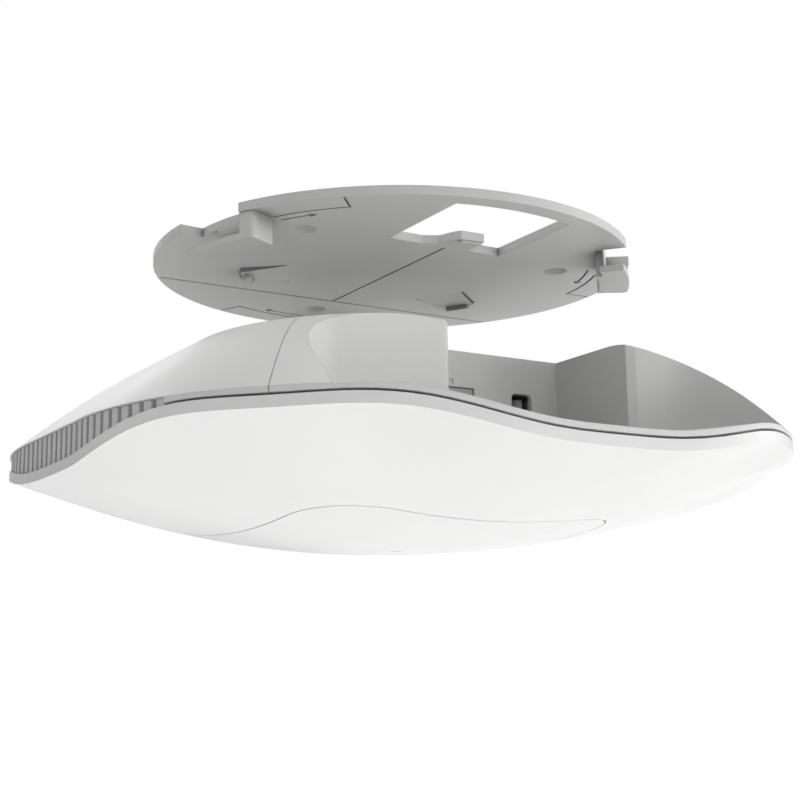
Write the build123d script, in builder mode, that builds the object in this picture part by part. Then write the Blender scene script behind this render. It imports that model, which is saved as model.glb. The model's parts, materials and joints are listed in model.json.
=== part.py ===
"""Ceiling access point: a screwed-on ceiling plate and the unit that twist-locks under it.

The origin is the centre of the plate's ceiling-side face and +Z points up at the ceiling. The unit
is drawn hanging free below the plate, turned to its locked direction. Its cable bay faces -Y.
"""
from build123d import *
from math import atan2, cos, exp, hypot, radians, sin, sqrt
import os

os.makedirs("parts", exist_ok=True)

# ---------------------------------------------------------------- driving dimensions (mm, degrees)
PLATE_RADIUS = 56.6
PLATE_THICKNESS = 2.0
SCREW_CIRCLE = 39.4           # radius of the three ceiling screw holes
SCREW_HOLE = 5.8
THIRD = 120.0                 # the plate repeats three times round

HOOK_TIP = -52.3              # azimuth of the first hook's open end
HOOK_START = -48.6            # where its upright wall starts
HOOK_END = -31.7
HOOK_POST = 3.7               # arc length of the end stop, degrees
HOOK_INNER = 49.3
HOOK_WALL = 1.8
HOOK_OUTER = 56.3
NOTCH_STARTS = (-49.5, 64.6, 184.6)    # the plate is open above each hook from here to its post
HOOK_DEPTH = 6.0              # how far a hook hangs below the plate
HOOK_ARM = 1.5                # thickness of the hook's arm

FINGER_ROOT = 24.8            # spring fingers that press on the unit
FINGER_TIP = 36.0
FINGER_WIDTH = 12.6           # at the root
FINGER_END = 8.0              # width at the tip
FINGER_DROP = 1.0
FINGER_NUB = 1.1
SLOT = 0.5
BORDER_ARCS = ((-25.9, -4.6), (88.8, 112.3), (208.9, 229.4))   # engraved beside the hooks
ARROW_ARCS = ((-30.7, -18.7), (89.3, 101.3), (209.3, 217.3))

UNIT_WIDTH = 165.0
CORNER_RADIUS = 63.5
WALL = 2.2
TOP_Z = -26.3                 # flat top of the hanging unit
TOP_RADIUS = 52.2
LIP_Z = -47.5                 # rim of the rear dome
SEAM_GAP = 0.25               # half of the shadow gap between the covers
TWIST = 15.0                  # bayonet turn
BAND = 2.5                    # height of the front cover's edge below the seam
LAP = 0.8                     # the rear covers reach this far down inside the front cover

BAY_LEFT, BAY_RIGHT = -14.8, 29.4
BAY_BACK = -24.9
BAY_NEAR = -47.3              # where the left wall stops and the flared mouth starts
BAY_NEAR_RIGHT = -49.7
BAY_FLOOR = -48.8
BAY_WALL = 1.3

PANEL_WIDTH = 79.0            # inlay on the front cover
PANEL_CORNER = 17.0
PANEL_THICKNESS = 1.1

BOARD_Z = -48.2               # top face of the main board
BOARD_THICKNESS = 1.6
POST_CIRCLE = 47.0            # four screws join the covers from the ceiling side
POST_ANGLES = (7.0, 47.5, 127.0, 167.5)
JACK_WIDTH, JACK_DEPTH, JACK_HEIGHT = 15.9, 21.3, 13.5
JACK_X = -2.0
USB_X = 19.2
RESET_X, RESET_Z = 12.9, -42.5


# ---------------------------------------------------------------- shapes given by a formula
def seam_height(x, y):
    """Height of the seam between the covers: a four-fold wave round the rim, level in the middle."""
    turn = atan2(y, x)
    fade = 1 - exp(-((hypot(x, y) / 50) ** 6))
    return -51.17 - fade * (3.0 * cos(4 * turn) + 0.34 * cos(8 * turn) - 0.45 * cos(12 * turn))


def smooth(value):
    """A step from 0 to 1 with level ends."""
    value = min(max(value, 0), 1)
    return value * value * (3 - 2 * value)


def rim_radius(x, y):
    """Distance from the axis to the unit's rounded-square rim, in the direction of a point."""
    far = hypot(x, y) or 1.0
    across, along = abs(x) / far, abs(y) / far
    core = UNIT_WIDTH / 2 - CORNER_RADIUS
    flat = UNIT_WIDTH / 2 / max(across, along, 0.01)
    if flat * min(across, along) <= core:
        return flat
    middle = core * (across + along)
    return middle + sqrt(middle**2 - 2 * core**2 + CORNER_RADIUS**2)


def dished_height(x, y):
    """Height of a shallow dish that rises more towards its four corners."""
    reach = hypot(x, y) / 80
    wave = (1.604 * reach**6 - 2.587 * reach**4) * cos(4 * atan2(y, x))
    return -69.05 + 12.92 * reach**2 + 0.1 * reach**4 + wave


def front_height(x, y):
    """Height of the front face: the dish, eased near the rim so that its edge follows the seam."""
    ratio = hypot(x, y) / rim_radius(x, y)
    if ratio < 0.7:
        return dished_height(x, y)
    rim = (x / ratio, y / ratio)
    return dished_height(x, y) + smooth((ratio - 0.7) / 0.3) * (
        seam_height(*rim) - BAND - dished_height(*rim)
    )


def floor_height(x, y):
    """Height of the bay's floor, which ramps down to the rim's flange at the mouth."""
    blend = smooth((-60 - y) / 18)
    return (1 - blend) * BAY_FLOOR + blend * (seam_height(x, y) + 1.45)


def sheet(height, lift=0.0, steps=40, reach=94.0):
    """A smooth surface through a square grid of the heights that a formula gives."""
    line = [-reach + 2 * reach * step / steps for step in range(steps + 1)]
    grid = [[(x, y, height(x, y) + lift) for y in line] for x in line]
    return Face.make_surface_from_array_of_points(grid)


def dome_rings(inset, drop):
    """Rings of the rear dome from rim to top, as height, half width and corner radius."""
    half_run = UNIT_WIDTH / 2 - TOP_RADIUS
    corner_run = sqrt(2) * (UNIT_WIDTH / 2 - CORNER_RADIUS) + CORNER_RADIUS - TOP_RADIUS
    for fall in (1, 0.8, 0.6, 0.42, 0.27, 0.15, 0.07, 0.02, 0):
        half = TOP_RADIUS + half_run * fall ** (1 / 1.153)
        corner = TOP_RADIUS + corner_run * fall ** (1 / 1.886)
        radius = min((sqrt(2) * half - corner) / (sqrt(2) - 1), half - 0.01)
        yield TOP_Z + (LIP_Z - TOP_Z) * fall - drop, half - inset, radius - inset


def dome(inset=0.0, drop=0.0):
    """The rear dome as one block, stepped in and down for the hollow inside it."""
    with BuildPart() as block:
        for height, half, radius in dome_rings(inset, drop):
            with BuildSketch(Plane.XY.offset(height)):
                RectangleRounded(2 * half, 2 * half, radius)
        loft()
    return block.part


def rim_block(inset, bottom, top):
    """An upright block with the unit's rounded square outline."""
    with BuildPart() as block:
        with BuildSketch(Plane.XY.offset(bottom)):
            side = UNIT_WIDTH - 2 * inset
            RectangleRounded(side, side, CORNER_RADIUS - inset)
        extrude(amount=top - bottom)
    return block.part


def ring_sector(inner, outer, start, end, mode=Mode.ADD):
    """A piece of a flat ring, drawn in the open sketch."""
    arc = end - start
    with BuildLine() as outline:
        far = CenterArc((0, 0), outer, start, arc)
        near = CenterArc((0, 0), inner, start, arc)
        Line(far @ 0, near @ 0)
        Line(far @ 1, near @ 1)
    make_face(outline.edges(), mode=mode)


def sector_block(inner, outer, start, end, bottom, top):
    """An upright piece of a ring."""
    with BuildPart() as block:
        with BuildSketch(Plane.XY.offset(bottom)):
            ring_sector(inner, outer, start, end)
        extrude(amount=top - bottom)
    return block.part


def upright(centre, size, bottom, top):
    """An upright rectangular block."""
    with BuildPart() as block:
        with BuildSketch(Plane.XY.offset(bottom)):
            with Locations(centre):
                Rectangle(*size)
        extrude(amount=top - bottom)
    return block.part


def polar(radius, angle):
    return (radius * cos(radians(angle)), radius * sin(radians(angle)))


def bay_outline(grow=0.0):
    """Plan of the cable bay, drawn in the open sketch: a box with a mouth that flares to the rim."""
    left, right, back, near = BAY_LEFT, BAY_RIGHT, BAY_BACK, BAY_NEAR
    with BuildLine() as outline:
        Polyline((left, near + 1.0), (left, back), (right, back), (right, BAY_NEAR_RIGHT))
        Line((right, BAY_NEAR_RIGHT), (right + 2.0, BAY_NEAR_RIGHT - 1.0))
        FilletPolyline(
            (right + 2.0, BAY_NEAR_RIGHT - 1.0), (48.5, -54.2), (50.5, -77), (50.5, -100), radius=14
        )
        Line((50.5, -100), (-55.4, -100))
        FilletPolyline((-55.4, -100), (-55.4, -72), (-53.0, -51.5), (left - 1.4, near), radius=13)
        Line((left - 1.4, near), (left, near + 1.0))
    make_face(outline.edges())
    if grow:
        offset(amount=grow, kind=Kind.INTERSECTION)


# ---------------------------------------------------------------- ceiling plate
def engraved(width):
    """Guide lines on the plate: a chord, a centre line, and a border and arrow beside each hook."""
    with Locations((0.5, 30.3)):
        Rectangle(95, width)
    with Locations((0.3, 3.6)):
        Rectangle(width, 53)
    for start, end in BORDER_ARCS:
        ring_sector(49.5, 49.5 + width, start, end)
        ring_sector(49.5, 56.0, end - 0.5, end)
    for start, end in ARROW_ARCS:
        ring_sector(47.0, 47.0 + width, start, end)
        with Locations(polar(47.2, end + 1)):
            RegularPolygon(1.3, 3, rotation=end + 91)


with BuildPart() as spring_finger:
    with BuildSketch(Plane.XZ):
        Polygon(
            (FINGER_ROOT - 0.5, 0),
            (FINGER_ROOT - 0.5, -PLATE_THICKNESS),
            (FINGER_ROOT, -PLATE_THICKNESS),
            (FINGER_TIP, -PLATE_THICKNESS - FINGER_DROP),
            (FINGER_TIP, -FINGER_DROP),
            (FINGER_ROOT, 0),
            align=None,
        )
    extrude(amount=FINGER_WIDTH / 2, both=True)
    with BuildSketch(Plane.XY.offset(-10)):
        Polygon(
            (FINGER_ROOT - 0.5, -FINGER_WIDTH / 2),
            (FINGER_ROOT, -FINGER_WIDTH / 2),
            (FINGER_TIP, -FINGER_END / 2),
            (FINGER_TIP, FINGER_END / 2),
            (FINGER_ROOT, FINGER_WIDTH / 2),
            (FINGER_ROOT - 0.5, FINGER_WIDTH / 2),
            align=None,
        )
    extrude(amount=20, mode=Mode.INTERSECT)
    with BuildSketch(Plane.XY.offset(-PLATE_THICKNESS - FINGER_DROP / 2)):
        with Locations((FINGER_TIP - 1.6, -0.6)):
            RectangleRounded(1.5, 6.4, 0.5)
    extrude(amount=-FINGER_NUB - FINGER_DROP / 2 + 0.2)

with BuildPart() as ceiling_plate:
    with BuildSketch(Plane.XY.offset(-PLATE_THICKNESS)):
        Circle(PLATE_RADIUS)
        with PolarLocations(SCREW_CIRCLE, 3, start_angle=-150):
            Circle(SCREW_HOLE / 2, mode=Mode.SUBTRACT)
        for step, start in enumerate(NOTCH_STARTS):
            end = HOOK_END - HOOK_POST + THIRD * step
            ring_sector(HOOK_INNER + HOOK_WALL, PLATE_RADIUS + 1, start, end, Mode.SUBTRACT)
    extrude(amount=PLATE_THICKNESS)
    with BuildSketch(Plane.XY.offset(-PLATE_THICKNESS)):
        with Locations((0.2, -43.3)):
            Rectangle(29.4, 40)
        Circle(52.2, mode=Mode.INTERSECT)
        Polygon(
            (-6.0, -23.2),
            (-2.3, -25.0),
            (-1.2, -28.4),
            (0, -30.3),
            (6.0, -30.5),
            (6.2, -23.2),
            align=None,
            mode=Mode.SUBTRACT,
        )
    extrude(amount=PLATE_THICKNESS, mode=Mode.SUBTRACT)
    for angle in (30, 150):
        with BuildSketch(Plane.XY.rotated((0, 0, angle)).offset(-PLATE_THICKNESS)):
            Polygon(
                (FINGER_ROOT, -FINGER_WIDTH / 2 - SLOT),
                (FINGER_TIP + SLOT, -FINGER_END / 2 - SLOT),
                (FINGER_TIP + SLOT, FINGER_END / 2 + SLOT),
                (FINGER_ROOT, FINGER_WIDTH / 2 + SLOT),
                align=None,
            )
        extrude(amount=PLATE_THICKNESS, mode=Mode.SUBTRACT)
        add(spring_finger.part.rotate(Axis.Z, angle))
    for step in range(3):
        turn = THIRD * step
        bottom = -PLATE_THICKNESS - HOOK_DEPTH
        with BuildSketch(Plane.XY.offset(bottom)):
            ring_sector(HOOK_INNER, HOOK_INNER + HOOK_WALL, HOOK_START + turn, HOOK_END + turn)
            ring_sector(
                HOOK_INNER + HOOK_WALL, HOOK_OUTER, HOOK_END - HOOK_POST + turn, HOOK_END + turn
            )
        extrude(amount=HOOK_DEPTH + 0.2)
        with BuildSketch(Plane.XY.offset(bottom)):
            ring_sector(HOOK_INNER, HOOK_OUTER, HOOK_START + turn, HOOK_END + turn)
            ring_sector(HOOK_INNER + 1.5, HOOK_OUTER, HOOK_TIP + turn, HOOK_START + turn)
        extrude(amount=HOOK_ARM)
    upright_edges = ceiling_plate.edges().filter_by(Axis.Z)
    posts = [e for e in upright_edges if e.length > 5 and hypot(e.center().X, e.center().Y) > 56]
    fillet(posts, 1.2)
    with BuildSketch(Plane.XY.offset(-PLATE_THICKNESS)):
        engraved(0.5)
    extrude(amount=0.35, mode=Mode.SUBTRACT)
ceiling_plate.part.label = "ceiling_plate"
export_step(ceiling_plate.part, "parts/ceiling_plate.step")


# ---------------------------------------------------------------- rear covers
FLANGE_Z = -58.0              # lowest level that the rear blocks are drawn to, below the seam
POCKET_Z = -32.5              # floor of the hook pockets
POCKET_INNER, POCKET_OUTER = 48.8, 57.6
PLAY = 1.1                    # room at both ends of a pocket, degrees
LUG_BOTTOM = -29.7
LUG_INNER = 51.6
LUG_END = HOOK_TIP + 11.0     # short enough to pass its hook while the unit still turns back
TRACK_DEPTH = 1.6             # the spring fingers run in two shallow tracks
TRACKS = (37.5, 157.5)        # azimuths of their middles
VENT_TOP = -47.6
VENT_HALF = 46.0              # half length of each vent along its side

above_seam = sheet(seam_height, SEAM_GAP)
bay_floor_top = sheet(floor_height)
bay_floor_under = sheet(floor_height, -1.3)

with BuildPart() as bay_space:
    with BuildSketch(Plane.XY.offset(FLANGE_Z)):
        bay_outline()
    extrude(amount=40)
    extrude(to_extrude=bay_floor_top, amount=40, dir=(0, 0, -1), mode=Mode.SUBTRACT)

with BuildPart() as bay_tub:
    with BuildSketch(Plane.XY.offset(FLANGE_Z)):
        bay_outline(BAY_WALL)
    extrude(amount=40)
    extrude(to_extrude=bay_floor_under, amount=40, dir=(0, 0, -1), mode=Mode.SUBTRACT)
    add(dome() + rim_block(0, FLANGE_Z - 1, LIP_Z), mode=Mode.INTERSECT)

with BuildPart() as lap_ring:
    add(rim_block(WALL - 0.4, FLANGE_Z - 1, LIP_Z - 0.7))
    add(rim_block(WALL + 1.3, FLANGE_Z - 2, LIP_Z), mode=Mode.SUBTRACT)
    extrude(to_extrude=sheet(seam_height, -LAP), amount=40, dir=(0, 0, -1), mode=Mode.SUBTRACT)
    extrude(to_extrude=sheet(seam_height, 1.5), amount=40, dir=(0, 0, 1), mode=Mode.SUBTRACT)

with BuildPart() as front_rim_space:
    add(rim_block(0, FLANGE_Z - 2, LIP_Z))
    add(rim_block(WALL + 0.3, FLANGE_Z - 3, LIP_Z + 1), mode=Mode.SUBTRACT)
    extrude(to_extrude=above_seam, amount=40, dir=(0, 0, 1), mode=Mode.SUBTRACT)

with BuildPart() as hook_bosses:
    for step in range(3):
        start = HOOK_TIP - PLAY - 1.2 + THIRD * step
        end = HOOK_END + TWIST + PLAY + 1.2 + THIRD * step
        add(sector_block(POCKET_INNER - 1.2, POCKET_OUTER + 1.2, start, end, POCKET_Z - 1.2, TOP_Z))
    for centre in TRACKS:
        add(sector_block(20.8, 42.2, centre - 23, centre + 23, TOP_Z - TRACK_DEPTH - 1.4, TOP_Z))
    with BuildSketch(Plane.XY.offset(-45.5)):
        with Locations([polar(POST_CIRCLE, angle) for angle in POST_ANGLES]):
            Circle(4.2)
    extrude(amount=TOP_Z + 45.5)
    add(dome() + rim_block(0, FLANGE_Z - 1, LIP_Z), mode=Mode.INTERSECT)

with BuildPart() as hook_spaces:
    for step in range(3):
        turn = THIRD * step
        start, end = HOOK_TIP - PLAY + turn, HOOK_END + TWIST + PLAY + turn
        add(sector_block(POCKET_INNER + 1.5, POCKET_OUTER, start, start + 3, POCKET_Z, TOP_Z + 1))
        add(sector_block(POCKET_INNER, POCKET_OUTER, start + 2.8, end, POCKET_Z, TOP_Z + 1))
        lug = sector_block(LUG_INNER, 60, start - 1, LUG_END + turn, LUG_BOTTOM, TOP_Z + 2)
        add(lug, mode=Mode.SUBTRACT)
    for centre in TRACKS:
        add(sector_block(22, 41, centre - 21.8, centre + 21.8, TOP_Z - TRACK_DEPTH, TOP_Z + 1))
    with BuildSketch(Plane.XY.offset(-42)):
        with Locations([polar(POST_CIRCLE, angle) for angle in POST_ANGLES]):
            Circle(3.1)
    extrude(amount=20)
    with BuildSketch(Plane.XY.offset(-60)):
        with Locations([polar(POST_CIRCLE, angle) for angle in POST_ANGLES]):
            Circle(1.6)
    extrude(amount=20)
    with BuildSketch(Plane.XY.offset(TOP_Z - 0.8)):
        Circle(11.2)
    extrude(amount=2)
    with BuildSketch(Plane.XY.offset(TOP_Z - 5)):
        Circle(2.1)
    extrude(amount=5)

with BuildPart() as rear_shell:
    add(dome())
    add(rim_block(0, FLANGE_Z, LIP_Z))
    extrude(to_extrude=above_seam, amount=40, dir=(0, 0, -1), mode=Mode.SUBTRACT)
    add(dome(1.8, 1.8), mode=Mode.SUBTRACT)
    add(rim_block(WALL, FLANGE_Z - 1, LIP_Z - 1.79), mode=Mode.SUBTRACT)
    add(lap_ring.part)
    add(hook_bosses.part)
    add(hook_spaces.part, mode=Mode.SUBTRACT)
    add(bay_tub.part)
    add(front_rim_space.part, mode=Mode.SUBTRACT)
    add(bay_space.part, mode=Mode.SUBTRACT)


def cover_split(gap=0.0):
    """Plan of the part of the rear that the bay cover takes, drawn in the open sketch."""
    with BuildLine() as outline:
        Polyline(
            (-95, -102.8),
            (-42.5, -36.5),
            (-33, -28.3),
            (-18, BAY_BACK + 1.9),
            (31.5, BAY_BACK + 1.9),
            (35, -25.9),
            (46, -34),
            (87, -101.5),
            close=True,
        )
    make_face(outline.edges())
    if gap:
        offset(amount=-gap, kind=Kind.INTERSECTION)


with BuildPart() as vent_zones:
    reach = UNIT_WIDTH / 2
    for centre, size in (
        ((-reach, 0), (30, 2 * VENT_HALF)),
        ((reach, 0), (30, 2 * VENT_HALF)),
        ((0, reach), (2 * VENT_HALF, 30)),
    ):
        add(upright(centre, size, FLANGE_Z - 2, VENT_TOP))

with BuildPart() as rear_cover:
    add(rear_shell.part)
    with BuildSketch(Plane.XY.offset(FLANGE_Z)):
        cover_split()
    extrude(amount=40, mode=Mode.SUBTRACT)
    add(vent_zones.part, mode=Mode.SUBTRACT)
rear_cover.part.label = "rear_cover"
export_step(rear_cover.part, "parts/rear_cover.step")

JACK_MIDDLE = BOARD_Z + JACK_HEIGHT / 2
USB_MIDDLE = -41.05
ICON_X, ICON_Z = -0.5, -32.8  # raised mark above the network socket
with BuildPart() as bay_cover:
    add(rear_shell.part)
    with BuildSketch(Plane.XY.offset(FLANGE_Z)):
        cover_split(0.12)
    extrude(amount=40, mode=Mode.INTERSECT)
    with BuildSketch(Plane.XZ.offset(-BAY_BACK)):
        with Locations((JACK_X, JACK_MIDDLE)):
            Rectangle(JACK_WIDTH + 0.4, JACK_HEIGHT + 0.4)
        with Locations((USB_X, USB_MIDDLE)):
            RectangleRounded(5.6, 12.9, 1.2)
        with Locations((RESET_X, RESET_Z)):
            Circle(1.3)
    extrude(amount=3, both=True, mode=Mode.SUBTRACT)
    with BuildSketch(Plane.XZ.offset(-BAY_BACK)):
        with Locations((ICON_X, ICON_Z)):
            Rectangle(2.2, 0.25)
        with Locations((ICON_X - 0.975, ICON_Z - 0.5), (ICON_X + 0.975, ICON_Z - 0.5)):
            Rectangle(0.25, 1.25)
    extrude(amount=0.25)
bay_cover.part.label = "bay_cover"
export_step(bay_cover.part, "parts/bay_cover.step")

# ---------------------------------------------------------------- vent grilles
RIB_PITCH = 3.1
RIB_GAP = 1.2
RAIL = 0.8                    # height of the rails that hold the ribs behind their face

vent_foot = sheet(seam_height, 0.1 - SEAM_GAP)
vent_rail_top = sheet(seam_height, SEAM_GAP + RAIL)
with BuildPart() as vent_ring:
    add(rim_block(0.4, FLANGE_Z, VENT_TOP - 0.1))
    add(rim_block(3.0, FLANGE_Z, VENT_TOP), mode=Mode.SUBTRACT)
    extrude(to_extrude=vent_foot, amount=40, dir=(0, 0, -1), mode=Mode.SUBTRACT)

with BuildPart() as between_rails:
    add(rim_block(0, FLANGE_Z, VENT_TOP - RAIL))
    extrude(to_extrude=vent_rail_top, amount=40, dir=(0, 0, -1), mode=Mode.SUBTRACT)
    add(rim_block(4, FLANGE_Z - 1, VENT_TOP), mode=Mode.SUBTRACT)

for side, turn in (("left", 180), ("right", 0), ("back", 90)):
    frame = Plane.XY.rotated((0, 0, turn))
    with BuildPart() as comb:
        with BuildSketch(frame.offset(FLANGE_Z)):
            with Locations((reach - 3, 0)):
                with GridLocations(1, RIB_PITCH, 1, 29):
                    Rectangle(20, RIB_GAP)
        extrude(amount=VENT_TOP + 1 - FLANGE_Z)
    with BuildPart() as face_comb:
        add(comb.part)
        add(rim_block(1.7, FLANGE_Z - 1, -20), mode=Mode.SUBTRACT)
    with BuildPart() as through_comb:
        add(comb.part)
        add(between_rails.part, mode=Mode.INTERSECT)
    with BuildPart() as vent_grille:
        add(vent_ring.part)
        with BuildSketch(frame.offset(FLANGE_Z)):
            with Locations((reach, 0)):
                Rectangle(29, 2 * VENT_HALF - 0.3)
        extrude(amount=20, mode=Mode.INTERSECT)
        add(face_comb.part, mode=Mode.SUBTRACT)
        add(through_comb.part, mode=Mode.SUBTRACT)
    vent_grille.part.label = f"vent_grille_{side}"
    export_step(vent_grille.part, f"parts/vent_grille_{side}.step")

# ---------------------------------------------------------------- front cover and its inlay
POST_TOP = -45.8
FRONT_WALL = 2.0
below_seam = sheet(seam_height, -SEAM_GAP)
front_face = sheet(front_height, steps=28)
front_inside = sheet(front_height, FRONT_WALL, steps=28)
panel_back = sheet(front_height, PANEL_THICKNESS, steps=28)
ANTENNA_POSTS = [polar(30, angle) for angle in (90, 210, 330)]

with BuildPart() as front_hollow:
    add(rim_block(WALL, -72, -40))
    extrude(to_extrude=front_inside, amount=30, dir=(0, 0, -1), mode=Mode.SUBTRACT)

with BuildPart() as panel_pocket:
    with BuildSketch(Plane.XY.offset(-74)):
        RectangleRounded(PANEL_WIDTH, PANEL_WIDTH, PANEL_CORNER)
    extrude(amount=24)
    extrude(to_extrude=panel_back, amount=30, dir=(0, 0, 1), mode=Mode.SUBTRACT)

with BuildPart() as bottom_cover:
    add(rim_block(0, -72, -44))
    extrude(to_extrude=below_seam, amount=30, dir=(0, 0, 1), mode=Mode.SUBTRACT)
    add(front_hollow.part, mode=Mode.SUBTRACT)
    with BuildSketch(Plane.XY.offset(-68)):
        with Locations([polar(POST_CIRCLE, angle) for angle in POST_ANGLES]):
            Circle(5.4)
    extrude(amount=68 + BOARD_Z - BOARD_THICKNESS)
    with BuildSketch(Plane.XY.offset(-68)):
        with Locations([polar(POST_CIRCLE, angle) for angle in POST_ANGLES]):
            Circle(3.6)
    extrude(amount=68 + POST_TOP)
    with BuildSketch(Plane.XY.offset(-69)):
        with Locations(ANTENNA_POSTS):
            Circle(3)
    extrude(amount=69 - 55.5)
    with BuildSketch(Plane.XY.offset(-56)):
        with Locations([polar(POST_CIRCLE, angle) for angle in POST_ANGLES]):
            Circle(1.5)
    extrude(amount=20, mode=Mode.SUBTRACT)
    with BuildSketch(Plane.XY.offset(-62)):
        with Locations(ANTENNA_POSTS):
            Circle(1.1)
    extrude(amount=10, mode=Mode.SUBTRACT)
    extrude(to_extrude=front_face, amount=30, dir=(0, 0, -1), mode=Mode.SUBTRACT)
    with BuildSketch(Plane.XY.offset(-74)):
        Circle(1.3)
    extrude(amount=20, mode=Mode.SUBTRACT)
    add(panel_pocket.part, mode=Mode.SUBTRACT)
bottom_cover.part.label = "bottom_cover"
export_step(bottom_cover.part, "parts/bottom_cover.step")

PANEL_JOINT = 0.45            # shadow gap round the inlay
with BuildPart() as front_panel:
    with BuildSketch(Plane.XY.offset(-74)):
        side = PANEL_WIDTH - 2 * PANEL_JOINT
        RectangleRounded(side, side, PANEL_CORNER - PANEL_JOINT)
        Circle(1.3, mode=Mode.SUBTRACT)
    extrude(amount=24)
    extrude(to_extrude=panel_back, amount=30, dir=(0, 0, 1), mode=Mode.SUBTRACT)
    extrude(to_extrude=front_face, amount=30, dir=(0, 0, -1), mode=Mode.SUBTRACT)
front_panel.part.label = "front_panel"
export_step(front_panel.part, "parts/front_panel.step")

# ---------------------------------------------------------------- main board and what it carries
POST_POINTS = [polar(POST_CIRCLE, angle) for angle in POST_ANGLES]
PILLAR_POINTS = [(x, y) for x in (-33, 33) for y in (5, 53)]
BOARD_UNDER = BOARD_Z - BOARD_THICKNESS
BOARD_CENTRE = (0, 19.4)
CAN_POINTS = ((-11, 30), (15, 30))
CAN_SIZE = (23, 28)
CAN_TOP = BOARD_Z + 3.6
SINK_Z = CAN_TOP + 1.2        # underside of the heat sink, above the thermal pads

with BuildPart() as main_board:
    with BuildSketch(Plane.XY.offset(BOARD_UNDER)):
        with Locations(BOARD_CENTRE):
            RectangleRounded(104, 81, 5)
        with Locations(POST_POINTS):
            Circle(3.9, mode=Mode.SUBTRACT)
        with Locations(PILLAR_POINTS):
            Circle(1.6, mode=Mode.SUBTRACT)
    extrude(amount=BOARD_THICKNESS)
main_board.part.label = "main_board"
export_step(main_board.part, "parts/main_board.step")

with BuildPart() as heat_sink:
    with BuildSketch(Plane.XY.offset(SINK_Z)):
        with Locations((0, 29)):
            RectangleRounded(76, 56, 5)
    extrude(amount=1.8)
    with BuildSketch(Plane.XY.offset(SINK_Z + 1.8)):
        with Locations((0, 29)):
            with GridLocations(5.6, 1, 13, 1):
                Rectangle(1.3, 52)
    extrude(amount=7)
    with BuildSketch(Plane.XY.offset(BOARD_Z)):
        with Locations(PILLAR_POINTS):
            Circle(2.8)
    extrude(amount=SINK_Z - BOARD_Z + 0.5)
    with BuildSketch(Plane.XY.offset(BOARD_Z)):
        with Locations(POST_POINTS):
            Circle(4.9)
    extrude(amount=20, mode=Mode.SUBTRACT)
    with BuildSketch(Plane.XY.offset(BOARD_Z)):
        with Locations(PILLAR_POINTS):
            Circle(1.25)
    extrude(amount=4.6, mode=Mode.SUBTRACT)
heat_sink.part.label = "heat_sink"
export_step(heat_sink.part, "parts/heat_sink.step")

for name, centre in (("processor_shield", CAN_POINTS[0]), ("radio_shield", CAN_POINTS[1])):
    with BuildPart() as shield_can:
        with BuildSketch(Plane.XY.offset(BOARD_Z)):
            with Locations(centre):
                RectangleRounded(*CAN_SIZE, 0.8)
        extrude(amount=CAN_TOP - BOARD_Z)
        with BuildSketch(Plane.XY.offset(BOARD_Z)):
            with Locations(centre):
                Rectangle(CAN_SIZE[0] - 0.6, CAN_SIZE[1] - 0.6)
        extrude(amount=CAN_TOP - BOARD_Z - 0.3, mode=Mode.SUBTRACT)
    shield_can.part.label = name
    export_step(shield_can.part, f"parts/{name}.step")

with BuildPart() as thermal_pads:
    with BuildSketch(Plane.XY.offset(CAN_TOP)):
        with Locations(*CAN_POINTS):
            Rectangle(18, 22)
    extrude(amount=SINK_Z - CAN_TOP)
thermal_pads.part.label = "thermal_pads"
export_step(thermal_pads.part, "parts/thermal_pads.step")

with BuildPart() as processor:
    with BuildSketch(Plane.XY.offset(BOARD_Z)):
        with Locations(CAN_POINTS[0]):
            Rectangle(15, 15)
    extrude(amount=1.5)
processor.part.label = "processor"
export_step(processor.part, "parts/processor.step")

with BuildPart() as radio_chips:
    with BuildSketch(Plane.XY.offset(BOARD_Z)):
        with Locations((15, 23), (15, 37)):
            Rectangle(9, 9)
    extrude(amount=0.9)
radio_chips.part.label = "radio_chips"
export_step(radio_chips.part, "parts/radio_chips.step")

with BuildPart() as memory_chips:
    with BuildSketch(Plane.XY.offset(BOARD_Z)):
        with Locations((-31, 18), (-42, 29)):
            Rectangle(8, 12)
    extrude(amount=1.1)
memory_chips.part.label = "memory_chips"
export_step(memory_chips.part, "parts/memory_chips.step")

with BuildPart() as power_transformer:
    with BuildSketch(Plane.XY.offset(BOARD_Z)):
        with Locations((-22, -10)):
            RectangleRounded(14, 15, 1.2)
    extrude(amount=2.2)
    with BuildSketch(Plane.XY.offset(BOARD_Z + 2.2)):
        with Locations((-22, -10)):
            Rectangle(9, 14)
    extrude(amount=6)
    with BuildSketch(Plane.XY.offset(BOARD_Z + 8.2)):
        with Locations((-22, -10)):
            RectangleRounded(14, 15, 1.2)
    extrude(amount=2.2)
power_transformer.part.label = "power_transformer"
export_step(power_transformer.part, "parts/power_transformer.step")

with BuildPart() as capacitors:
    with BuildSketch(Plane.XY.offset(BOARD_Z)):
        with Locations((-36, -13), (-36, -3.6), (-45, -13), (36, -13), (45, -13)):
            Circle(4)
    extrude(amount=10.5)
    fillet(capacitors.edges().filter_by(GeomType.CIRCLE).group_by(Axis.Z)[-1], 0.6)
capacitors.part.label = "capacitors"
export_step(capacitors.part, "parts/capacitors.step")

with BuildPart() as line_transformer:
    with BuildSketch(Plane.XY.offset(BOARD_Z)):
        with Locations((0, 6)):
            Rectangle(17, 11)
    extrude(amount=4.2)
    chamfer(line_transformer.edges().group_by(Axis.Z)[-1], 0.5)
line_transformer.part.label = "line_transformer"
export_step(line_transformer.part, "parts/line_transformer.step")

# ---------------------------------------------------------------- sockets in the port wall
PORT_FACE = BAY_BACK + 0.4    # socket faces sit just behind the wall's face

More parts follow.
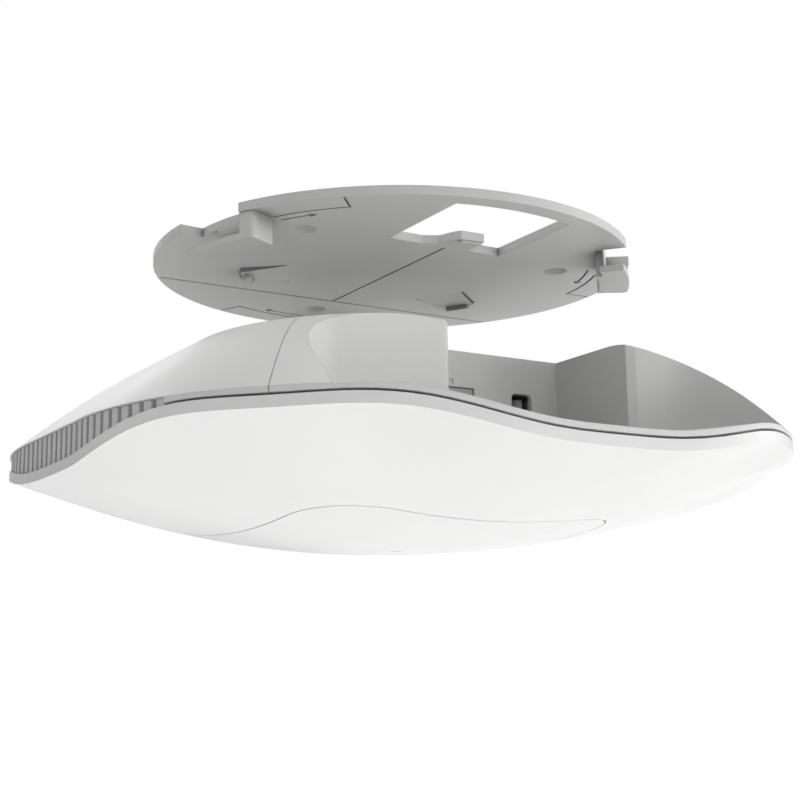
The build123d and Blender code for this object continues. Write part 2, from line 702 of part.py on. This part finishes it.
with BuildPart() as ethernet_jack:
    with BuildSketch(Plane.XY.offset(BOARD_Z)):
        with Locations((JACK_X, PORT_FACE + JACK_DEPTH / 2)):
            Rectangle(JACK_WIDTH, JACK_DEPTH)
    extrude(amount=JACK_HEIGHT)
    with BuildSketch(Plane.XZ.offset(-PORT_FACE)):
        with Locations((JACK_X, BOARD_Z + 5.9)):
            Rectangle(11.9, 7.2)
        with Locations((JACK_X, BOARD_Z + 1.9)):
            Rectangle(6.2, 2.4)
    extrude(amount=-12, mode=Mode.SUBTRACT)
ethernet_jack.part.label = "ethernet_jack"
export_step(ethernet_jack.part, "parts/ethernet_jack.step")

with BuildPart() as jack_contacts:
    with BuildSketch(Plane.XY.offset(BOARD_Z + 8.6)):
        with Locations((JACK_X, PORT_FACE + 7)):
            with GridLocations(1.02, 1, 8, 1):
                Rectangle(0.4, 9.8)
    extrude(amount=0.3)
jack_contacts.part.label = "jack_contacts"
export_step(jack_contacts.part, "parts/jack_contacts.step")

USB_WIDTH, USB_HEIGHT, USB_DEPTH = 6.3, 13.6, 14.0
USB_FACE = BAY_BACK + BAY_WALL + 0.15  # this socket ends behind the wall
with BuildPart() as service_port:
    with BuildSketch(Plane.XZ.offset(-USB_FACE)):
        with Locations((USB_X, USB_MIDDLE)):
            RectangleRounded(USB_WIDTH, USB_HEIGHT, 0.6)
    extrude(amount=-USB_DEPTH)
    with BuildSketch(Plane.XZ.offset(-USB_FACE)):
        with Locations((USB_X, USB_MIDDLE)):
            RectangleRounded(USB_WIDTH - 0.6, USB_HEIGHT - 0.6, 0.4)
    extrude(amount=-USB_DEPTH + 2, mode=Mode.SUBTRACT)
    with BuildSketch(Plane.XY.offset(BOARD_Z)):
        with Locations((USB_X, USB_FACE + USB_DEPTH - 3)):
            Rectangle(USB_WIDTH, 6)
    extrude(amount=USB_MIDDLE - USB_HEIGHT / 2 - BOARD_Z + 0.2)
service_port.part.label = "service_port"
export_step(service_port.part, "parts/service_port.step")

with BuildPart() as port_tongue:
    with BuildSketch(Plane.XZ.offset(-USB_FACE - 1.2)):
        with Locations((USB_X + 1.1, USB_MIDDLE)):
            Rectangle(1.8, 11.2)
    extrude(amount=-USB_DEPTH + 3.2)
    with BuildSketch(Plane.XY.offset(USB_MIDDLE - 5.6)):
        with Locations((USB_X + 0.1, USB_FACE + 3.2)):
            with GridLocations(1, 1.4, 1, 3):
                Rectangle(0.8, 0.5)
    extrude(amount=11.2)
port_tongue.part.label = "port_tongue"
export_step(port_tongue.part, "parts/port_tongue.step")

with BuildPart() as port_contacts:
    with BuildSketch(Plane.YZ.offset(USB_X + 0.2)):
        with Locations((USB_FACE + 8.2, USB_MIDDLE)):
            with GridLocations(1, 2.5, 1, 4):
                Rectangle(5.5, 1.0)
    extrude(amount=-0.25)
port_contacts.part.label = "port_contacts"
export_step(port_contacts.part, "parts/port_contacts.step")

# ---------------------------------------------------------------- reset button and its switch
with BuildPart() as reset_button:
    with BuildSketch(Plane.XZ.offset(-BAY_BACK - 0.3)):
        with Locations((RESET_X, RESET_Z)):
            Circle(1.1)
    extrude(amount=-3.0)
    with BuildSketch(Plane.XZ.offset(-BAY_BACK - BAY_WALL - 0.2)):
        with Locations((RESET_X, RESET_Z)):
            Circle(2.0)
    extrude(amount=-0.8)
reset_button.part.label = "reset_button"
export_step(reset_button.part, "parts/reset_button.step")

with BuildPart() as reset_switch:
    with BuildSketch(Plane.XY.offset(BOARD_Z)):
        with Locations((RESET_X, BAY_BACK + 7.3)):
            Rectangle(5.6, 3.6)
    extrude(amount=8.4)
    with BuildSketch(Plane.XZ.offset(-BAY_BACK - 5.7)):
        with Locations((RESET_X, RESET_Z)):
            Circle(1.3)
    extrude(amount=1.7)
reset_switch.part.label = "reset_switch"
export_step(reset_switch.part, "parts/reset_switch.step")

# ---------------------------------------------------------------- antenna board and status light
ANTENNA_TOP = -54.3
ANTENNA_UNDER = ANTENNA_TOP - 1.2
with BuildPart() as antenna_board:
    with BuildSketch(Plane.XY.offset(ANTENNA_UNDER)):
        Circle(35)
        with Locations(ANTENNA_POSTS):
            Circle(1.3, mode=Mode.SUBTRACT)
    extrude(amount=ANTENNA_TOP - ANTENNA_UNDER)
antenna_board.part.label = "antenna_board"
export_step(antenna_board.part, "parts/antenna_board.step")

with BuildPart() as board_connector:
    with BuildSketch(Plane.XY.offset(ANTENNA_TOP)):
        with Locations((0, 20)):
            Rectangle(14, 4)
    extrude(amount=BOARD_UNDER - ANTENNA_TOP)
board_connector.part.label = "board_connector"
export_step(board_connector.part, "parts/board_connector.step")

for name, offset_angle, height in (("short_antennas", 0, 5.0), ("long_antennas", 45, 6.0)):
    with BuildPart() as antennas:
        for step in range(4):
            angle = offset_angle + 90 * step
            frame = Plane.XY.rotated((0, 0, angle)).offset(ANTENNA_UNDER)
            with BuildSketch(frame):
                with Locations((22, -4), (22, 1)):
                    Rectangle(0.5, 1.6)
            extrude(amount=-height)
            with BuildSketch(frame.offset(-height)):
                with Locations((22, 0)):
                    Rectangle(4, 11)
            extrude(amount=-0.5)
    antennas.part.label = name
    export_step(antennas.part, f"parts/{name}.step")

with BuildPart() as status_led:
    with BuildSketch(Plane.XY.offset(ANTENNA_UNDER)):
        Rectangle(3.2, 2.8)
    extrude(amount=-0.8)
status_led.part.label = "status_led"
export_step(status_led.part, "parts/status_led.step")

with BuildPart() as light_pipe:
    with BuildSketch(Plane.XY.offset(ANTENNA_UNDER - 1.2)):
        Circle(1.22)
    extrude(amount=-(69.02 + ANTENNA_UNDER - 1.2))
    with BuildSketch(Plane.XY.offset(-66.9)):
        Circle(2.6)
    extrude(amount=0.9)
light_pipe.part.label = "light_pipe"
export_step(light_pipe.part, "parts/light_pipe.step")

# ---------------------------------------------------------------- fasteners and the centre bumper
def screws(points, head_z, shank, radius, head_radius, head_height, up=1):
    """Cross-recessed screws whose heads sit on head_z and whose shanks point the other way."""
    with BuildPart() as group:
        with BuildSketch(Plane.XY.offset(head_z)):
            with Locations(points):
                Circle(radius)
        extrude(amount=-shank * up)
        with BuildSketch(Plane.XY.offset(head_z)):
            with Locations(points):
                Circle(head_radius)
        extrude(amount=head_height * up)
        with BuildSketch(Plane.XY.offset(head_z + head_height * up)):
            with Locations(points):
                Rectangle(head_radius * 1.2, 0.5)
                Rectangle(0.5, head_radius * 1.2)
        extrude(amount=-head_height * 0.6 * up, mode=Mode.SUBTRACT)
    return group


cover_screws = screws(POST_POINTS, -42, 12, 1.48, 2.75, 2.0)
cover_screws.part.label = "cover_screws"
export_step(cover_screws.part, "parts/cover_screws.step")

board_screws = screws(PILLAR_POINTS, BOARD_UNDER, 5.8, 1.2, 2.3, 1.5, up=-1)
board_screws.part.label = "board_screws"
export_step(board_screws.part, "parts/board_screws.step")

antenna_screws = screws(ANTENNA_POSTS, ANTENNA_TOP, 6.5, 1.05, 1.9, 1.2)
antenna_screws.part.label = "antenna_screws"
export_step(antenna_screws.part, "parts/antenna_screws.step")

with BuildPart() as centre_bumper:
    with BuildSketch(Plane.XY.offset(TOP_Z - 0.75)):
        Circle(11)
        Circle(2.6, mode=Mode.SUBTRACT)
    extrude(amount=0.95)
    fillet(centre_bumper.edges().group_by(Axis.Z)[-1].sort_by(SortBy.RADIUS)[-1], 0.4)
centre_bumper.part.label = "centre_bumper"
export_step(centre_bumper.part, "parts/centre_bumper.step")

with BuildPart() as bumper_rivet:
    with BuildSketch(Plane.XY.offset(TOP_Z - 0.75)):
        Circle(2.45)
    extrude(amount=0.7)
    with BuildSketch(Plane.XY.offset(TOP_Z - 0.75)):
        Circle(1.95)
    extrude(amount=-3.2)
bumper_rivet.part.label = "bumper_rivet"
export_step(bumper_rivet.part, "parts/bumper_rivet.step")
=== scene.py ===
"""Looks of the ceiling access point: materials, studio and camera around the CAD frame, in metres."""

import json
import math

import bmesh
import bpy
from mathutils import Matrix, Vector


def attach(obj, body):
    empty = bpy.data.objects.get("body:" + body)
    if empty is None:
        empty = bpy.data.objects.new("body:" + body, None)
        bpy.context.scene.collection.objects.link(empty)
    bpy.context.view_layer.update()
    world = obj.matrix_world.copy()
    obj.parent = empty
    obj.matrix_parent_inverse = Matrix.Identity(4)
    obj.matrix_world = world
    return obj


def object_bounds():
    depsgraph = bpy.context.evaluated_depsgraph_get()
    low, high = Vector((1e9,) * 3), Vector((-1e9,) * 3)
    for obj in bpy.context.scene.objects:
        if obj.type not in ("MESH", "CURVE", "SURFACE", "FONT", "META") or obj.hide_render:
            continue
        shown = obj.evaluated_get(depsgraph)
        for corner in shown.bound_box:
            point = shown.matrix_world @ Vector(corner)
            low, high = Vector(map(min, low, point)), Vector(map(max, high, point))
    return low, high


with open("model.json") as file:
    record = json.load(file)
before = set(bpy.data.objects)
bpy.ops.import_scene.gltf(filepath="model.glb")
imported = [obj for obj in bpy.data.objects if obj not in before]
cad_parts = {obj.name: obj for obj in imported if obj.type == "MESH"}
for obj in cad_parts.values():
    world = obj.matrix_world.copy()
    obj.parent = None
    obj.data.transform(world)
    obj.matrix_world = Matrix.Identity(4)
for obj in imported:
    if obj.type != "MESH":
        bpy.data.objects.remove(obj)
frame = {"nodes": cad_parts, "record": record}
cad_low, cad_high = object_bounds()


# ---------------------------------------------------------------- node helpers
class Shader:
    """A node material built step by step: each call adds nodes and returns an output socket."""

    def __init__(self, name):
        self.material = bpy.data.materials.new(name)
        self.material.use_nodes = True
        self.tree = self.material.node_tree
        self.tree.nodes.clear()
        self.surface = self.add("ShaderNodeBsdfPrincipled")
        output = self.add("ShaderNodeOutputMaterial")
        self.tree.links.new(self.surface.outputs[0], output.inputs[0])
        self.place = self.add("ShaderNodeTexCoord").outputs["Object"]

    def add(self, kind, inputs=None, **settings):
        """One node: inputs maps a socket's name or number to a value or to another node's output."""
        made = self.tree.nodes.new(kind)
        for name, value in settings.items():
            setattr(made, name, value)
        for name, value in (inputs or {}).items():
            if isinstance(value, bpy.types.NodeSocket):
                self.tree.links.new(value, made.inputs[name])
            else:
                made.inputs[name].default_value = value
        return made

    def noise(self, scale, detail=3.0, roughness=0.5, stretch=None):
        """Noise between 0 and 1; scale is in features per metre."""
        place = self.place
        if stretch:
            place = self.add("ShaderNodeMapping", {"Vector": place, "Scale": stretch}).outputs[0]
        settings = {"Vector": place, "Scale": scale, "Detail": detail, "Roughness": roughness}
        return self.add("ShaderNodeTexNoise", settings).outputs["Fac"]

    def steps(self, value, start, end, low=0.0, high=1.0):
        """A smooth change from low to high while the value goes from start to end."""
        settings = {"Value": value, "From Min": start, "From Max": end, "To Min": low, "To Max": high}
        return self.add("ShaderNodeMapRange", settings, interpolation_type="SMOOTHSTEP").outputs[0]

    def blend(self, factor, first, second):
        """A colour that goes from the first to the second while the factor goes from 0 to 1."""
        first, second = ((*c, 1) if isinstance(c, tuple) else c for c in (first, second))
        return self.add("ShaderNodeMix", {0: factor, 6: first, 7: second}, data_type="RGBA").outputs[2]

    def bump(self, value, distance, strength, before=None):
        """A normal that raises the surface by value times distance, on top of the one before."""
        settings = {"Height": value, "Distance": distance, "Strength": strength}
        if before is not None:
            settings["Normal"] = before
        return self.add("ShaderNodeBump", settings).outputs[0]

    def edges(self, width):
        """The normal rounded over edges of that width, and a mask that is 1 on those edges."""
        rounded = self.add("ShaderNodeBevel", {"Radius": width}, samples=4).outputs[0]
        flat = self.add("ShaderNodeNewGeometry").outputs["Normal"]
        turn = self.add("ShaderNodeVectorMath", {0: rounded, 1: flat}, operation="DOT_PRODUCT")
        return rounded, self.steps(turn.outputs["Value"], 0.995, 0.86)

    def finish(self, **inputs):
        """Set or link the surface's sockets, named with _ for a space, and return the material."""
        for name, value in inputs.items():
            socket = self.surface.inputs[name.replace("_", " ")]
            if isinstance(value, bpy.types.NodeSocket):
                self.tree.links.new(value, socket)
            else:
                socket.default_value = value
        return self.material


def shifted(colour, amount):
    return tuple(min(max(part + amount, 0.0), 1.0) for part in colour)


# ---------------------------------------------------------------- materials
MOULD_GRAIN = 2400            # grain of moulded plastic, in features per metre
PAINTED_SHADE_REACH = 0.006          # how far a surface looks for others when painting shade into narrow places, in metres


def moulded(name, colour, roughness, grain, edge=0.00035, dust=0.02, painted_shade=0.0):
    """Moulded plastic with a fine grain and slow changes of tone.

    edge rounds and lightens edges of that width; painted_shade paints shade into the narrow places,
    darkening them by that share.
    """
    s = Shader(name)
    slow = s.steps(s.noise(14, 2), 0.35, 0.65)
    tone = s.blend(slow, shifted(colour, -dust), colour)
    rough = s.steps(s.noise(60, 2), 0.3, 0.7, roughness - 0.05, roughness + 0.05)
    rounded = None
    if edge:
        rounded, worn = s.edges(edge)
        tone = s.blend(worn, tone, shifted(colour, 0.03))
    # painted shade: narrow places get a darker colour from ambient occlusion, standing in for the
    # shade that falls there
    if painted_shade:
        openness = s.add("ShaderNodeAmbientOcclusion", {"Distance": PAINTED_SHADE_REACH}, samples=6)
        painted_shade_colour = tuple((1 - painted_shade) * part for part in colour)
        tone = s.blend(s.steps(openness.outputs["AO"], 0.4, 0.92), painted_shade_colour, tone)
    normal = s.bump(s.noise(MOULD_GRAIN, 1), grain, 0.4, rounded)
    return s.finish(Base_Color=tone, Roughness=rough, Specular_IOR_Level=0.4, Normal=normal)


def solder_mask():
    """Green solder mask over straight copper tracks, with small tinned spots and a woven base."""
    s = Shader("solder_mask")
    cells = s.add("ShaderNodeTexVoronoi", {"Vector": s.place, "Scale": 420}, distance="MANHATTAN")
    lanes = s.add("ShaderNodeTexVoronoi", {"Vector": s.place, "Scale": 190},
                  distance="CHEBYCHEV", feature="F2")
    tracks = s.steps(lanes.outputs["Distance"], 0.72, 0.78)
    spots = s.steps(cells.outputs["Distance"], 0.17, 0.12)
    wave = s.add("ShaderNodeTexWave", {"Vector": s.place, "Scale": 900, "Distortion": 0.4})
    tone = s.blend(tracks, (0.012, 0.10, 0.045), (0.02, 0.17, 0.075))
    tone = s.blend(spots, tone, (0.62, 0.60, 0.55))
    rough = s.steps(s.noise(500), 0.3, 0.7, 0.24, 0.38)
    tinned = s.steps(spots, 0.4, 0.6, 0, 0.8)
    normal = s.bump(wave.outputs["Fac"], 0.000008, 0.3, s.bump(tracks, 0.00004, 0.7))
    return s.finish(Base_Color=tone, Roughness=rough, Metallic=tinned, Normal=normal)


def bare_metal(name, colour, roughness, stretch, grain, stain):
    """Metal with a grain drawn out along one direction, faint stains and brighter edges."""
    s = Shader(name)
    rounded, worn = s.edges(0.0002)
    lines = s.noise(900, 3, 0.6, stretch)
    clouds = s.steps(s.noise(90, 4), 0.35, 0.7)
    tone = s.blend(clouds, colour, shifted(colour, -stain))
    tone = s.blend(worn, tone, shifted(colour, 0.08))
    rough = s.steps(lines, 0.25, 0.75, roughness - 0.08, roughness + 0.1)
    normal = s.bump(lines, grain, 0.5, rounded)
    return s.finish(Base_Color=tone, Metallic=1.0, Roughness=rough, Normal=normal)


def rubber(name, colour, pore_scale, pore_depth):
    """Soft rubber or silicone: pores, a dusty bloom and a dull sheen."""
    s = Shader(name)
    pores = s.add("ShaderNodeTexVoronoi", {"Vector": s.place, "Scale": pore_scale}).outputs["Distance"]
    bloom = s.steps(s.noise(160, 4), 0.4, 0.75)
    tone = s.blend(bloom, colour, shifted(colour, 0.07))
    normal = s.bump(pores, pore_depth, 0.6, s.bump(s.noise(1500), pore_depth / 2, 0.4))
    rough = s.steps(pores, 0.0, 0.8, 0.68, 0.86)
    return s.finish(Base_Color=tone, Roughness=rough, Specular_IOR_Level=0.25, Normal=normal)


def clear_moulding():
    """Clear plastic, frosted a little, with flow lines and a faint cool tint."""
    s = Shader("clear_moulding")
    flow = s.noise(600, stretch=(1.0, 1.0, 0.25))
    tone = s.blend(s.steps(s.noise(80), 0.3, 0.7), (0.80, 0.88, 0.93), (0.88, 0.93, 0.96))
    rough = s.steps(flow, 0.3, 0.7, 0.12, 0.26)
    return s.finish(Base_Color=tone, Transmission_Weight=0.7, IOR=1.49, Roughness=rough,
                    Normal=s.bump(flow, 0.00002, 0.4))


MATERIALS = {
    # plate and vent carry painted shade in their narrow places: the plate's hole walls and the gaps
    # between the vent ribs
    "plate": moulded("plate_plastic", (0.60, 0.60, 0.595), 0.5, 0.00002, painted_shade=0.75),
    "rear": moulded("rear_plastic", (0.65, 0.65, 0.645), 0.5, 0.00002),
    "front": moulded("front_plastic", (0.75, 0.75, 0.745), 0.36, 0.000006, edge=0.0, dust=0.01),
    "vent": moulded("vent_plastic", (0.60, 0.60, 0.60), 0.55, 0.00002, edge=0.0, painted_shade=0.2),
    "black": moulded("black_plastic", (0.022, 0.022, 0.024), 0.45, 0.00002, edge=0.0002, dust=0.006),
    "socket": moulded("socket_plastic", (0.42, 0.42, 0.42), 0.5, 0.00002, edge=0.0002, dust=0.015),
    "button": moulded("button_plastic", (0.10, 0.10, 0.105), 0.42, 0.00001, edge=0.0002, dust=0.01),
    "board": solder_mask(),
    "metal": bare_metal("cast_aluminium", (0.72, 0.72, 0.73), 0.42, (1.0, 1.0, 1.0), 0.00003, 0.10),
    "tin": bare_metal("tinned_sheet", (0.76, 0.75, 0.73), 0.28, (1.0, 0.06, 1.0), 0.000008, 0.08),
    "gold": bare_metal("gold_plating", (0.92, 0.70, 0.32), 0.22, (1.0, 0.1, 1.0), 0.000005, 0.12),
    "screw": bare_metal("zinc_plating", (0.66, 0.67, 0.69), 0.3, (1.0, 1.0, 0.1), 0.00001, 0.12),
    "pad": rubber("thermal_silicone", (0.22, 0.30, 0.42), 1400, 0.00003),
    "bumper": rubber("bumper_rubber", (0.26, 0.26, 0.27), 2200, 0.00002),
    "clear": clear_moulding(),
}
for part in frame["record"]["subparts"]:
    mesh = frame["nodes"][part["node"]].data
    mesh.materials.clear()
    mesh.materials.append(MATERIALS[part["material_slot"]])


# ---------------------------------------------------------------- small moulded details on the plate
MM = 0.001


def add_moulded_step(name, outline, low, high, edge, body, slot):
    """An outline drawn out between two heights, with rounded lower edges, all in millimetres."""
    mesh = bpy.data.meshes.new(name)
    shape = bmesh.new()
    corners = [shape.verts.new((x * MM, y * MM, high * MM)) for x, y in outline]
    base = shape.faces.new(corners)
    drawn = bmesh.ops.extrude_face_region(shape, geom=[base])
    moved = [item for item in drawn["geom"] if isinstance(item, bmesh.types.BMVert)]
    bmesh.ops.translate(shape, verts=moved, vec=(0, 0, (low - high) * MM))
    middle = (low + high) / 2 * MM
    rims = [e for e in shape.edges if any(v.co.z < middle for v in e.verts)]
    bmesh.ops.bevel(shape, geom=rims, offset=edge * MM, segments=4, profile=0.5, affect="EDGES")
    bmesh.ops.recalc_face_normals(shape, faces=shape.faces)
    shape.to_mesh(mesh)
    shape.free()
    piece = bpy.data.objects.new(name, mesh)
    bpy.context.scene.collection.objects.link(piece)
    mesh.materials.append(MATERIALS[slot])
    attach(piece, body)


PLATE_UNDER = -2.0            # height of the plate's lower face
STEP_HEIGHT = 0.5
STEP_SUNK = 0.1               # how far the step reaches into the plate
STEP_EDGE = 0.3
TAB_TIP = ((0.5, -30.05), (5.7, -30.25), (5.85, -27.9), (1.2, -27.9), (-0.1, -29.1))
add_moulded_step("tab_step", TAB_TIP, PLATE_UNDER - STEP_HEIGHT, PLATE_UNDER + STEP_SUNK, STEP_EDGE,
                 "plate", "plate")


# ---------------------------------------------------------------- studio
CAMERA_PLACE = Vector((-0.17353, -0.28696, -0.09883))
CAMERA_LENS = 65.0
SENSOR_WIDTH = 36.0
LOOK = Vector((0.5215, 0.8533, 0.0))          # level direction of view
PITCH = math.radians(11.05)                   # upward tilt
ROLL = math.radians(0.83)
SURROUND = 0.11                               # strength of the even light from all sides
LIGHT_CENTRE = Vector((0, 0, -0.05))
LIGHT_DISTANCE = 1.1
SOFT_SIZE = 0.7
UNDER_SIZE = 0.35
UNDER_DROP = 0.205                            # under lights below the object's lowest point
FLOOR_DROP = 0.22                             # floor below the object's lowest point
FLOOR_RADIUS = 1.2
# Big soft lights on a sphere round the object: name, azimuth and height in degrees, watts.
SOFT_LIGHTS = (
    ("front_right_level", 340, 6, 3.0),
    ("front_right_low", 315, -9, 5.0),
    ("front_right_high", 315, 35, 1.06),
    ("right_low", 0, -9, 3.0),
    ("back_right_high", 45, 35, 3.4),
    ("back_right_low", 45, -9, 1.2),
    ("back_high", 90, 35, 3.0),
    ("back_low", 90, -9, 0.7),
    ("back_left_high", 135, 35, 1.5),
    ("left_high", 180, 35, 1.24),
    ("front_high", 270, 35, 2.5),
    ("top", 0, 90, 5.5),
)
# Smaller lights just above the floor that light the underside: name, x, y, watts.
UNDER_LIGHTS = (("under_left", -0.28, -0.28, 0.54), ("under_middle", 0.0, 0.0, 0.19))


def add_camera():
    data = bpy.data.cameras.new("camera")
    data.lens = CAMERA_LENS
    data.sensor_width = SENSOR_WIDTH
    data.clip_start = 0.01
    camera = bpy.data.objects.new("camera", data)
    bpy.context.scene.collection.objects.link(camera)
    forward = (LOOK.normalized() * math.cos(PITCH) + Vector((0, 0, math.sin(PITCH)))).normalized()
    right = forward.cross(Vector((0, 0, 1))).normalized()
    up = right.cross(forward)
    across = math.cos(ROLL) * right - math.sin(ROLL) * up
    upward = math.sin(ROLL) * right + math.cos(ROLL) * up
    axes = Matrix((across, upward, -forward)).transposed().to_4x4()
    camera.matrix_world = Matrix.Translation(CAMERA_PLACE) @ axes
    bpy.context.scene.camera = camera


def add_world():
    """White behind the object, and a faint even surround for everything but the camera."""
    world = bpy.data.worlds.new("surround")
    world.use_nodes = True
    bpy.context.scene.world = world
    nodes, links = world.node_tree.nodes, world.node_tree.links
    nodes.clear()
    mix = nodes.new("ShaderNodeMixShader")
    links.new(nodes.new("ShaderNodeLightPath").outputs["Is Camera Ray"], mix.inputs[0])
    for number, strength in ((1, SURROUND), (2, 1.0)):
        light = nodes.new("ShaderNodeBackground")
        light.inputs["Color"].default_value = (1, 1, 1, 1)
        light.inputs["Strength"].default_value = strength
        links.new(light.outputs[0], mix.inputs[number])
    links.new(mix.outputs[0], nodes.new("ShaderNodeOutputWorld").inputs[0])


def add_light(name, place, size, watts):
    """A round area light that faces LIGHT_CENTRE and that the camera doesn't see."""
    data = bpy.data.lights.new(name, "AREA")
    data.shape = "DISK"
    data.size = size
    data.energy = watts
    lamp = bpy.data.objects.new(name, data)
    bpy.context.scene.collection.objects.link(lamp)
    lamp.location = place
    lamp.rotation_euler = (place - LIGHT_CENTRE).to_track_quat("Z", "Y").to_euler()
    lamp.visible_camera = False


def add_floor():
    """A pale round floor well below the hanging unit."""
    mesh = bpy.data.meshes.new("floor")
    grid = bmesh.new()
    bmesh.ops.create_circle(grid, cap_ends=True, segments=96, radius=FLOOR_RADIUS)
    bmesh.ops.translate(grid, verts=grid.verts, vec=(0, 0, cad_low[2] - FLOOR_DROP))
    grid.to_mesh(mesh)
    grid.free()
    floor = bpy.data.objects.new("floor", mesh)
    bpy.context.scene.collection.objects.link(floor)
    s = Shader("floor_paint")
    tone = s.blend(s.steps(s.noise(3, 4), 0.3, 0.7), (0.80, 0.80, 0.80), (0.84, 0.84, 0.84))
    normal = s.bump(s.noise(300), 0.0002, 0.3)
    mesh.materials.append(s.finish(Base_Color=tone, Roughness=0.7, Normal=normal))


add_camera()
add_world()
add_floor()
for name, azimuth, height, watts in SOFT_LIGHTS:
    azimuth, height = math.radians(azimuth), math.radians(height)
    level = math.cos(height)
    away = Vector((level * math.cos(azimuth), level * math.sin(azimuth), math.sin(height)))
    add_light(name, LIGHT_CENTRE + LIGHT_DISTANCE * away, SOFT_SIZE, watts)
for name, x, y, watts in UNDER_LIGHTS:
    add_light(name, Vector((x, y, cad_low[2] - UNDER_DROP)), UNDER_SIZE, watts)
bpy.context.scene.view_settings.view_transform = "Standard"
